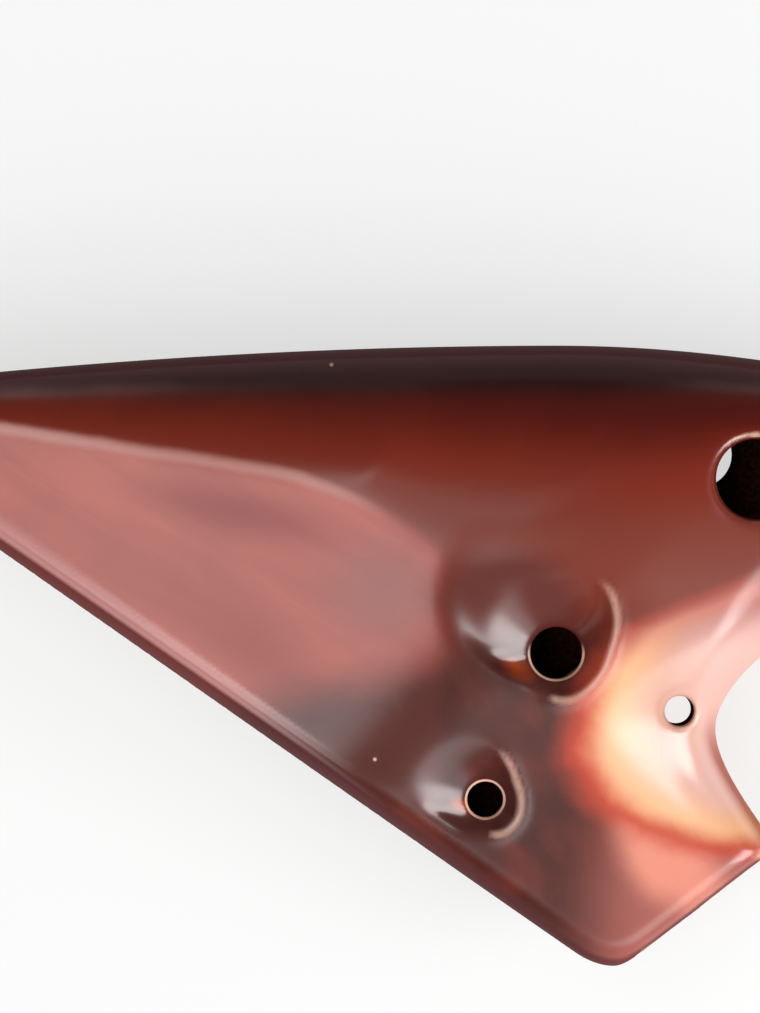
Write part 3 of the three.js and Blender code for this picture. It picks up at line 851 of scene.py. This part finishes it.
# %% Sockets as values
class Wire:
    """A node socket that can be used in sums."""

    def __init__(self, tree, socket):
        self.tree, self.socket = tree, socket

    def feed(self, node, **inputs):
        """Feeds a node's sockets, called by name or by number (i0, i1), with wires or values."""
        for name, value in inputs.items():
            key = int(name[1:]) if name[1:].isdigit() else name.replace("_", " ")
            if isinstance(value, Wire):
                self.tree.links.new(value.socket, node.inputs[key])
            else:
                node.inputs[key].default_value = value

    def node(self, kind, settings=(), **inputs):
        """Adds a node, sets it up and feeds its sockets."""
        node = self.tree.nodes.new(kind)
        for name, value in dict(settings).items():
            setattr(node, name, value)
        self.feed(node, **inputs)
        return node

    def out(self, output, kind, settings=(), **inputs):
        """Adds a node and gives one of its outputs."""
        return Wire(self.tree, self.node(kind, settings, **inputs).outputs[output])

    def maths(self, operation, *values):
        feeds = {f"i{n}": value for n, value in enumerate(values)}
        return self.out(0, "ShaderNodeMath", {"operation": operation}, **feeds)

    def __add__(self, other):
        return self.maths("ADD", self, other)

    def __sub__(self, other):
        return self.maths("SUBTRACT", self, other)

    def __rsub__(self, other):
        return self.maths("SUBTRACT", other, self)

    def __mul__(self, other):
        return self.maths("MULTIPLY", self, other)

    __radd__, __rmul__ = __add__, __mul__

    def most(self, other):
        return self.maths("MAXIMUM", self, other)

    def step(self, low, high):
        """0 below low, 1 above high, smooth between."""
        settings = {"interpolation_type": "SMOOTHSTEP"}
        feeds = {"i0": self, "i1": low, "i2": high, "i3": 0.0, "i4": 1.0}
        return self.out(0, "ShaderNodeMapRange", settings, **feeds)

    def blend(self, first, second):
        """A colour between two, with this value as the share of the second."""
        feeds = {"i0": self, "i6": first, "i7": second}
        return self.out(2, "ShaderNodeMix", {"data_type": "RGBA"}, **feeds)


def colour(red, green, blue):
    """An sRGB colour, 0 to 255, as Blender's linear one."""
    shares = [value / 255 for value in (red, green, blue)]
    linear = [((s + 0.055) / 1.055) ** 2.4 if s > 0.04045 else s / 12.92 for s in shares]
    return (*linear, 1.0)


# %% [markdown]
# The glaze
# The pot was glazed red-brown and smoked: where smoke lay on it the glaze is nearly black,
# where the flame reached it, at the web and the beak's flank, it is honey coloured, and it
# runs thin and pale over every sharp rim. The tones are laid over each other in that order.
# Some of them also hold painted light: painted shade on the crest, on the steep flanks, under
# the shoulder and high up on the web, painted sheen and highlights on the plateau, its ridge,
# the straight edge, the lips, the beak and the web, and a painted orange reflection beside
# each window's hole. A clear coat on a duller base gives the deep gloss. All of it reads the
# object's coordinates, so the pattern runs on from skin to skin.

# %% Tones and places of the pattern
# Several tones stand in part for painted light or shade; each layer below says which.
TONES = {
    "deep red": (82, 14, 6),
    "warm red": (116, 36, 20),
    "brown red": (112, 47, 35),
    "dusky pink": (146, 64, 54),
    "pink": (164, 78, 66),
    "painted shade under the shoulder": (124, 34, 25),
    "brown streak": (130, 48, 38),
    "grey pink": (132, 76, 70),
    "scoop brown": (88, 40, 34),
    "painted_ridge_highlight": (206, 156, 146),
    "beak": (156, 92, 85),
    "flash_and_sheen": (216, 136, 116),
    "smoke": (57, 28, 25),
    "gap in the smoke": (128, 54, 46),
    "painted orange reflection": (158, 62, 26),
    "flame": (178, 66, 46),
    "flame high up": (144, 66, 54),
    "honey": (222, 166, 124),
    "honey high up": (172, 100, 90),
    "web": (190, 142, 124),
    "web by the bulb": (210, 166, 156),
    "web high up": (156, 96, 92),
    "painted shade on the web's flank": (146, 58, 34),
    "crest": (48, 22, 18),
    "flank": (84, 32, 34),
    "painted highlight on the straight edge": (204, 160, 158),
    "lip": (218, 176, 158),
    "thin glaze": (232, 190, 164),
    "dark clay": (58, 30, 22),
    "light clay": (112, 66, 48),
    "brown clay": (120, 70, 50),
    "buff clay": (176, 116, 86),
}
TONES = {name: colour(*tone) for name, tone in TONES.items()}
# Ovals in plan: the middle and the half axes in millimetres, and the turn in degrees
SPOTS = {
    "under the shoulder": (-33, 20, 22, 5, -13),
    "down the plateau": (-31, 2, 21, 8, -38),
    "end of the plateau": (-13, 9, 13, 12),
    "round the main window": (5, 6, 19, 15, -20),
    "flash and sheen on the beak": (26, -27, 15, 10, -48),
    "painted reflection by the main hole": (5.4, -1.4, 3.6, 2.0, -32),
    "painted reflection by the high hole": (-2.3, -20.3, 2.6, 1.5, -20),
    "web": (60, -0.3, 44.2, 21.6, 17.2),
    "pinhole in the crest": (-20.2, 40.4, 0.4, 0.4),
    "pinhole in the smoke": (-14.2, -13.8, 0.4, 0.4),
}
RING_OFFSET = 0.12  # how far outside a hole its pale ring runs


# %% Building blocks of the materials
def new_material(name):
    """A material with its tree of nodes and its shader."""
    material = bpy.data.materials.new(name)
    material.use_nodes = True
    return material, material.node_tree, material.node_tree.nodes["Principled BSDF"]


def start_material(name):
    """A material, its shader and the object's coordinates in millimetres."""
    material, tree, shader = new_material(name)
    metres = Wire(tree, tree.nodes.new("ShaderNodeTexCoord").outputs["Object"])
    place = metres.out(0, "ShaderNodeVectorMath", {"operation": "SCALE"}, i0=metres, Scale=1 / MM)
    return material, shader, place


def noise(place, size, detail=2.0, roughness=0.5, distortion=0.0):
    """Soft noise whose blots are about size millimetres wide."""
    feeds = {"Detail": detail, "Roughness": roughness, "Distortion": distortion}
    return place.out("Fac", "ShaderNodeTexNoise", i0=place, Scale=1 / size, **feeds)


def turned(place, turn, sizes, x=0.0, y=0.0):
    """Coordinates from a place in plan along turned axes, as shares of the sizes."""
    feeds = {"Location": (x, y, 0.0), "Rotation": (0.0, 0.0, math.radians(turn)), "Scale": sizes}
    return place.out(0, "ShaderNodeMapping", {"vector_type": "TEXTURE"}, i0=place, **feeds)


def streaks(place, turn, long, wide):
    """Noise drawn out along one direction, as brush strokes and smoke draw it."""
    return noise(turned(place, turn, (long, wide, long)), 1.0, 3, 0.55, 0.4)


def mark(place, name):
    """One of the marks that each point of a skin carries."""
    return place.out("Fac", "ShaderNodeAttribute", {"attribute_name": name})


def oval(place, x, y, across, down, turn=0.0):
    """0 at a place in plan, 1 on an oval's rim and more beyond it, at any height."""
    shares = turned(place, turn, (across, down, FAR), x, y)
    return place.out("Value", "ShaderNodeVectorMath", {"operation": "LENGTH"}, i0=shares)


def spot(place, name):
    """1 at the middle of a named oval, falling softly to 0 at its rim."""
    return 1 - oval(place, *SPOTS[name]).step(0.0, 1.0)


def ring(place, window):
    """1 on the thin edge of a window's hole, 0 elsewhere."""
    kind, centre = "ShaderNodeVectorMath", (*window["place"], 0)
    in_plan = place.out(0, kind, {"operation": "MULTIPLY"}, i0=place, i1=(1, 1, 0))
    away = place.out("Value", kind, {"operation": "DISTANCE"}, i0=in_plan, i1=centre)
    off = away - (window["radius"] + RING_OFFSET)
    return 1 - place.maths("ABSOLUTE", off).step(0.1, 0.26)


def lay(body, share, tone):
    """Lays a tone over the body's colour, as much as the share says."""
    return share.blend(body, TONES[tone])


# %% The glaze's layers
class Look:
    """What the layers of the glaze share: coordinates, noises, marks and regions."""

    def __init__(self, place):
        self.place = place
        axes = place.node("ShaderNodeSeparateXYZ", i0=place)
        self.x, self.y, height = [Wire(place.tree, output) for output in axes.outputs]
        self.above = height.step(JOINT, JOINT + 2)
        self.drift = noise(place, 26, 3, 0.55, 0.6)
        self.mottle = noise(place, 7, 4, 0.6, 0.3)
        self.fine = noise(place, 1.1, 3, 0.6)
        self.wander = 0.3 * (self.mottle - 0.5) + 0.5 * (self.drift - 0.5)
        self.flank, self.edge = mark(place, "flank"), mark(place, "edge")
        self.crest = (self.y + 3 * (self.drift - 0.5)).step(34.6, 38.4)
        across = (self.x - float(BEAK_END[0])) * float(INWARD[0])
        from_end = across + (self.y - float(BEAK_END[1])) * float(INWARD[1])
        self.on_beak = 1 - (from_end + 7 * (self.drift - 0.5)).step(7, 24)
        web = oval(place, *SPOTS["web"]) * 0.98 + 0.22 * self.wander
        self.web = web + 0.03 * (self.y - 4).most(0)  # 1 on the web's rim, less inside it


def red_ground(look):
    """Red, deepest under the crest and browner towards the windows."""
    depth = look.y + 0.08 * (look.x + 10) + 9 * (look.drift - 0.5)
    body = depth.step(38, 27).blend(TONES["deep red"], TONES["warm red"])
    return lay(body, depth.step(28, 19), "brown red")


def plateau(look, body):
    """Pink over the high chamber, made paler as a painted sheen, with brushed streaks, a band
    of painted shade under the shoulder and a painted highlight along the ridge at its top.
    """
    place, x = look.place, look.x
    past = (x + 30).most(0)
    up = look.y + 0.16 * (x + 66) + 0.012 * past * past + 0.7 * (look.mottle - 0.5)
    flat = up.step(33.4, 30.4) * (x + 3 * (look.mottle - 0.5)).step(-3, -7)
    brushed = streaks(place, -31, 38, 4.5)
    shade = (0.6 * brushed + 0.6 * look.drift - 0.1).step(0.3, 0.75)
    # The pink is the glaze's own tone made paler as a painted sheen.
    pink = shade.blend(TONES["dusky pink"], TONES["pink"])
    # Painted shade: a darker band just under the shoulder.
    pink = lay(pink, 0.9 * spot(place, "under the shoulder"), "painted shade under the shoulder")
    pink = lay(pink, 0.8 * spot(place, "down the plateau"), "brown streak")
    pink = lay(pink, 0.8 * spot(place, "end of the plateau"), "grey pink")
    body = flat.blend(body, pink)
    scoop = 1.3 * spot(place, "round the main window") + 0.5 * look.wander
    body = lay(body, scoop.step(0.1, 0.9), "scoop brown")
    # Painted highlight: a pale line along the ridge at the plateau's top.
    painted_ridge_highlight = place.maths("ABSOLUTE", up - 31.7).step(1.4, 0.1) * x.step(-9, -26) * look.above
    return lay(body, 0.4 * painted_ridge_highlight, "painted_ridge_highlight")


def beak(look, body):
    """Greyer pink towards the blow end, partly a painted sheen, and a flash where the flame
    licked its flank, with a painted highlight in it.
    """
    # Paler, greyer pink on the beak: partly the glaze's own tone, partly a painted sheen.
    body = lay(body, 0.8 * look.on_beak, "beak")
    # The flame's orange flash, with a painted highlight laid into it.
    flash_and_sheen = spot(look.place, "flash and sheen on the beak") * (1 + 1.4 * look.wander)
    return lay(body, 0.85 * flash_and_sheen.step(0.05, 0.8), "flash_and_sheen")


def smoke(look, body):
    """Smoke round both windows, with gaps in it, and a painted orange reflection beside each hole.
    """
    place = look.place
    under_plateau = look.y - 0.23 * (look.x + 2.4) - 1.4 + 6 * look.wander
    smoked = under_plateau.step(3.8, -5.2) * (look.x + 5 * look.wander).step(24, 10)
    body = lay(body, 0.88 * smoked, "smoke")
    gaps = streaks(place, -50, 15, 9).step(0.46, 0.74) * smoked.most(0.8 * look.on_beak)
    body = lay(body, 0.3 * gaps, "gap in the smoke")
    # Painted reflection: orange patches on the steep walls beside the holes.
    painted_reflections = spot(place, "painted reflection by the main hole").most(spot(place, "painted reflection by the high hole"))
    return lay(body, 0.8 * (look.above * painted_reflections), "painted orange reflection")


def web(look, body):
    """From its rim inwards: a red line of flame, honey, and the pale web itself. The pale
    tones are partly the flame's colour and partly painted light, and they darken higher up
    towards the bulb as painted shade.
    """
    # Painted shade: darker higher up towards the bulb, where the surface turns from the light.
    high_up = (look.y - 0.2 * (look.x - 30)).step(-1, 8)
    flame = lay(TONES["flame"], high_up, "flame high up")
    body = look.web.step(1.17, 1.04).blend(body, flame)
    honey = lay(TONES["honey"], high_up, "honey high up")
    body = look.web.step(1.08, 0.95).blend(body, honey)
    # Pale web: the flame's colour with painted light in it, palest by the bulb as a painted
    # reflection.
    inner = lay(TONES["web"], look.x.step(23, 34), "web by the bulb")
    inner = lay(inner, high_up, "web high up")
    return look.web.step(0.97, 0.8).blend(body, inner)


def edges(look, body):
    """The crest nearly black, smoke and painted shade together, painted shade on the steep
    flanks, and a painted highlight along the straight edge.
    """
    # Crest: smoke on the glaze, darkened further as painted shade where the roll turns from the
    # light.
    body = lay(body, 0.94 * look.crest, "crest")
    # Painted shade on the steep flanks by the web and the beak, in a warm red.
    shaded_web_flank = look.flank * look.web.step(1.2, 0.9) * look.y.step(-6, -15)
    body = lay(body, 0.75 * shaded_web_flank, "painted shade on the web's flank")
    # Painted shade on the other steep flanks.
    body = lay(body, 0.8 * (look.flank * look.web.step(0.9, 1.2)), "flank")
    # Painted highlight: a pale band where the surface faces out over the straight edge.
    straight_edge_highlight = look.edge * (1 - look.flank) * look.x.step(-18, -32)
    return lay(body, 0.4 * straight_edge_highlight, "painted highlight on the straight edge")


def thin_glaze(look, body):
    """Pale where the glaze ran thin: lips, sharp rims, the holes' rings and two pinholes. The
    lips and the main hole's lower ring also carry a painted highlight.
    """
    place = look.place
    # The lip's pale line: thin glaze with a painted highlight in it.
    body = lay(body, 0.45 * mark(place, "rim"), "lip")
    # The main hole's ring only on its lower side: bare clay edge and painted highlight together.
    near_side = (look.y - float(MAIN_WINDOW["place"][1])).step(1.5, -0.5)
    rings = (near_side * ring(place, MAIN_WINDOW)).most(ring(place, HIGH_WINDOW))
    pinholes = spot(place, "pinhole in the crest").most(spot(place, "pinhole in the smoke"))
    thin = (mark(place, "thin") + 0.4 * (look.fine - 0.5)).step(0.3, 0.9)
    thin = thin.most(look.above * rings.most(pinholes))
    return lay(body, 0.8 * thin, "thin glaze")


# %% Glaze and bare clay
def make_glaze():
    material, shader, place = start_material("smoked glaze")
    look = Look(place)
    body = red_ground(look)
    for layer in (plateau, beak, smoke, web, edges, thin_glaze):
        body = layer(look, body)

    inside = mark(place, "inside")
    grain = noise(place, 0.6, 3, 0.7)
    bare = (grain + 0.4 * look.mottle - 0.2).step(0.3, 0.7)
    bare = bare.blend(TONES["dark clay"], TONES["light clay"])
    matt_edge = 0.85 * (look.edge * look.x.step(-26, -12)) * (look.web - 1).step(0, 0.1)
    dull = (0.8 * look.crest).most(0.9 * look.flank).most(matt_edge)
    wobble = 0.2 * noise(place, 11, 1, 0.4) + 0.006 * look.fine + inside * (0.12 * grain)
    place.feed(
        shader,
        Base_Color=inside.blend(body, bare),
        Roughness=inside * 0.55 + (0.26 + 0.12 * look.mottle),
        Coat_Weight=(1 - inside) * (1 - dull),
        Coat_Roughness=0.24,
        Coat_IOR=1.55,
        Specular_IOR_Level=0.0,
        Normal=place.out(0, "ShaderNodeBump", Strength=1.0, Distance=MM, Height=wobble),
    )
    return material


def make_clay():
    material, shader, place = start_material("bare clay")
    grain = noise(place, 0.5, 4, 0.7)
    blots = noise(place, 5, 3, 0.6)
    shade = (0.6 * grain + 0.4 * blots).step(0.3, 0.7)
    tone = shade.blend(TONES["brown clay"], TONES["buff clay"])
    bump = place.out(0, "ShaderNodeBump", Strength=0.6, Distance=0.2 * MM, Height=grain)
    place.feed(shader, Base_Color=tone, Roughness=0.75 + 0.2 * grain, Normal=bump)
    return material


glaze, clay = make_glaze(), make_clay()
for node, piece in pieces.items():
    piece.data.materials.append(glaze)
for node in ("main_windway_block", "high_windway_block", "chamber_divider"):
    for material_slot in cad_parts[node].material_slots:
        material_slot.material = clay

# %% [markdown]
# Floor, light and camera
# The photograph looks straight down on a pale sheet. A broad soft light overhead lies on the
# plateau as a pink sheen, and low lights at three sides bring out the web, the beak and the
# straight edge. Nothing bright stands beyond the crest, so its roll stays dark.

# %% Floor
FLOOR_REACH = 2.0
PAPER_GLOW = 0.7  # share of the sheet's own light in what the camera and mirrors see
SIDES = ((-1, -1), (1, -1), (1, 1), (-1, 1))
floor_corners = [(x * FLOOR_REACH, y * FLOOR_REACH, 0) for x, y in SIDES]
floor_mesh = bpy.data.meshes.new("floor")
floor_mesh.from_pydata(floor_corners, [], [(0, 1, 2, 3)])
floor = put("floor", floor_mesh)
paper, tree, matt = new_material("pale paper")
rays = tree.nodes.new("ShaderNodeLightPath").outputs
kinds = ("Is Camera Ray", "Is Glossy Ray", "Is Transmission Ray")
camera_ray, glossy_ray, clear_ray = [Wire(tree, rays[kind]) for kind in kinds]
seen = PAPER_GLOW * camera_ray.most(glossy_ray).most(clear_ray)
glow = seen.out(0, "ShaderNodeEmission", Color=colour(247, 248, 247))
mixed = seen.out(0, "ShaderNodeMixShader", i0=seen, i1=Wire(tree, matt.outputs[0]), i2=glow)
seen.feed(matt, Base_Color=colour(230, 231, 230), Roughness=0.9)
seen.feed(tree.nodes["Material Output"], Surface=mixed)
floor_mesh.materials.append(paper)


# %% Lights
TARGET = Vector((-0.0135, 0.0208, JOINT * MM))  # the middle of the picture


def soft_light(name, tilt, azimuth, distance, size, brightness, aside=(0, 0)):
    """A soft rectangular light facing the object; brightness is its surface's own."""
    tilt, azimuth = math.radians(tilt), math.radians(azimuth)
    outward = (math.cos(azimuth), math.sin(azimuth))
    heading = Vector((*(math.sin(tilt) * part for part in outward), math.cos(tilt))).normalized()
    light = bpy.data.lights.new(name, "AREA")
    light.shape = "RECTANGLE"
    light.size, light.size_y = size
    light.energy = brightness * math.pi * size[0] * size[1]
    lamp = put(name, light)
    turn = heading.to_track_quat("Z", "Y")
    lamp.location = TARGET + heading * distance + turn @ Vector((*aside, 0))
    lamp.rotation_euler = turn.to_euler()
    lamp.visible_camera = False


# Tilt from straight up, azimuth from +X, distance, size, brightness, shift in its own plane
LAMPS = {
    "overhead": (18, 195, 0.9, (0.6, 0.55), 2.5),
    "bright edge of the overhead": (18, 195, 0.9, (0.3, 0.56), 2.0, (-0.43, 0.12)),
    "bulb side": (56, -20, 0.8, (0.52, 0.34), 10.4),
    "beak side": (56, -68, 1.0, (0.8, 0.5), 2.2),
    "tail side": (47, 232, 0.9, (0.5, 0.8), 2.9),
}
AMBIENT = 0.1
for name, lamp in LAMPS.items():
    soft_light(name, *lamp)
world = bpy.data.worlds.new("studio")
bpy.context.scene.world = world
world.use_nodes = True
background = world.node_tree.nodes["Background"]
background.inputs["Color"].default_value = (1, 1, 1, 1)
background.inputs["Strength"].default_value = AMBIENT

# %% Camera
CAMERA_HEIGHT = 1.2
SENSOR = 36.0
PICTURE_WIDTH = 0.1056  # what the photograph shows of the object, in metres
camera_data = bpy.data.cameras.new("camera")
camera = put("camera", camera_data)
camera_data.sensor_fit = "HORIZONTAL"
camera_data.sensor_width = SENSOR
camera_data.lens = SENSOR * CAMERA_HEIGHT / PICTURE_WIDTH
camera_data.clip_start, camera_data.clip_end = 0.01, 20.0
camera.location = TARGET + Vector((0, 0, CAMERA_HEIGHT))
bpy.context.scene.camera = camera
bpy.context.scene.view_settings.view_transform = "Standard"
